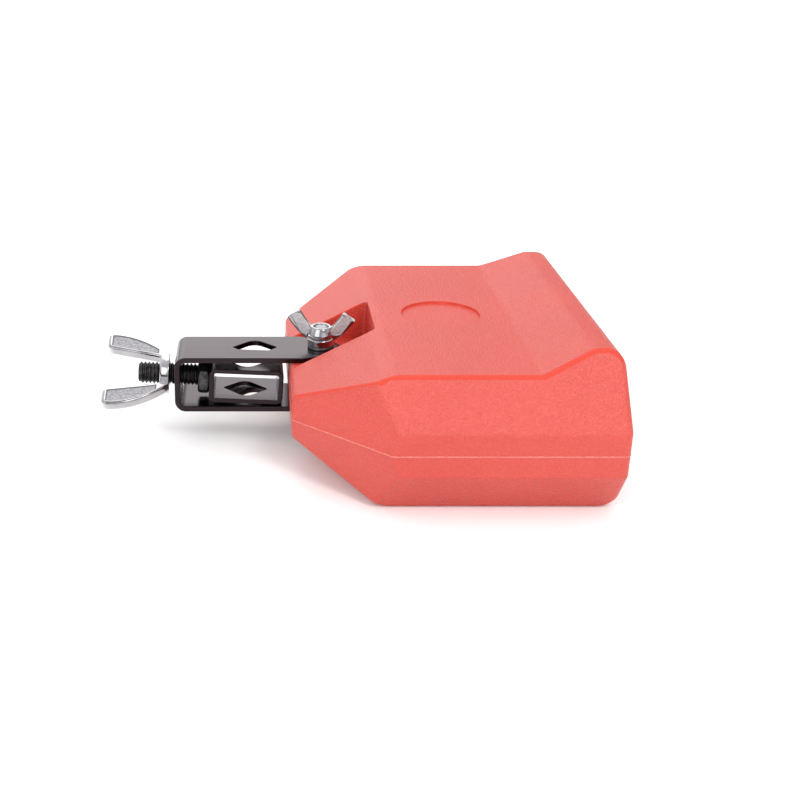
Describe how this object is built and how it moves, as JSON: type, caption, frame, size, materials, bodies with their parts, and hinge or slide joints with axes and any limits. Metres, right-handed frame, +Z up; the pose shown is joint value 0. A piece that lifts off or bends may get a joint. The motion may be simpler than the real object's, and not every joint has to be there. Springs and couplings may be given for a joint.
{
  "type": "percussion block",
  "caption": "Hollow moulded percussion block with a raised striking lip, a sound slot in front and a swivelling strap bracket whose wing-nut clamp grips a vertical rod.",
  "frame": {"origin": "middle of the block's flat underside, on its centre plane", "axes": "+X along the block from the clamp to the striking lip, +Z up, +Y across the block"},
  "size_m": [0.1744, 0.1424, 0.0538],
  "materials": {
    "block_plastic": "satin moulded red with a fine leather grain",
    "black_strap": "glossy black plating",
    "black_thread": "black oxide, slightly oily",
    "chrome": "chrome plating over a cast surface",
    "zinc": "bright zinc plating",
    "dark_zinc": "plated spring steel"
  },
  "bodies": {
    "block": {"block_shell": "block_plastic"},
    "bracket": {"bracket": "black_strap", "pivot_lock_washer": "dark_zinc"},
    "clamp": {"clamp_ring": "black_strap", "clamp_stud": "black_thread", "clamp_lock_nut": "black_thread"},
    "clamp_nut": {"clamp_wing_nut": "chrome"},
    "pivot_nut": {"pivot_wing_nut": "chrome"},
    "pivot_bolt": {"pivot_bolt": "zinc", "pivot_flat_washer": "zinc"}
  },
  "joints": [
    {"name": "bracket_swivel", "type": "hinge", "parent": "block", "child": "bracket", "pos_m": [-0.05355, 0, 0.0233], "axis": [0, 0, 1], "range_deg": [-6.5, 6.5]},
    {"name": "clamp_nut_spin", "type": "hinge", "parent": "bracket", "child": "clamp_nut", "pos_m": [-0.11055, 0, 0.02351], "axis": [0.9991, 0, -0.0419], "range_deg": [-153.2, 1439.5]},
    {"name": "clamp_draw", "type": "slide", "parent": "bracket", "child": "clamp", "axis": [-0.9991, 0, 0.0419], "range_m": [-0.0006, 0.00564]},
    {"name": "pivot_nut_spin", "type": "hinge", "parent": "bracket", "child": "pivot_nut", "pos_m": [-0.05355, 0, 0.0347], "axis": [0, 0, 1], "range_deg": [0, 718]},
    {"name": "pivot_bolt_drop", "type": "slide", "parent": "bracket", "child": "pivot_bolt", "axis": [0, 0, -1], "range_m": [0, 0.00211]}
  ],
  "couplings": [
    {"joint": "clamp_nut_spin", "follows": "clamp_draw", "rad_per_m": 4452.7},
    {"joint": "pivot_nut_spin", "follows": "pivot_bolt_drop", "rad_per_m": 5937.1}
  ]
}
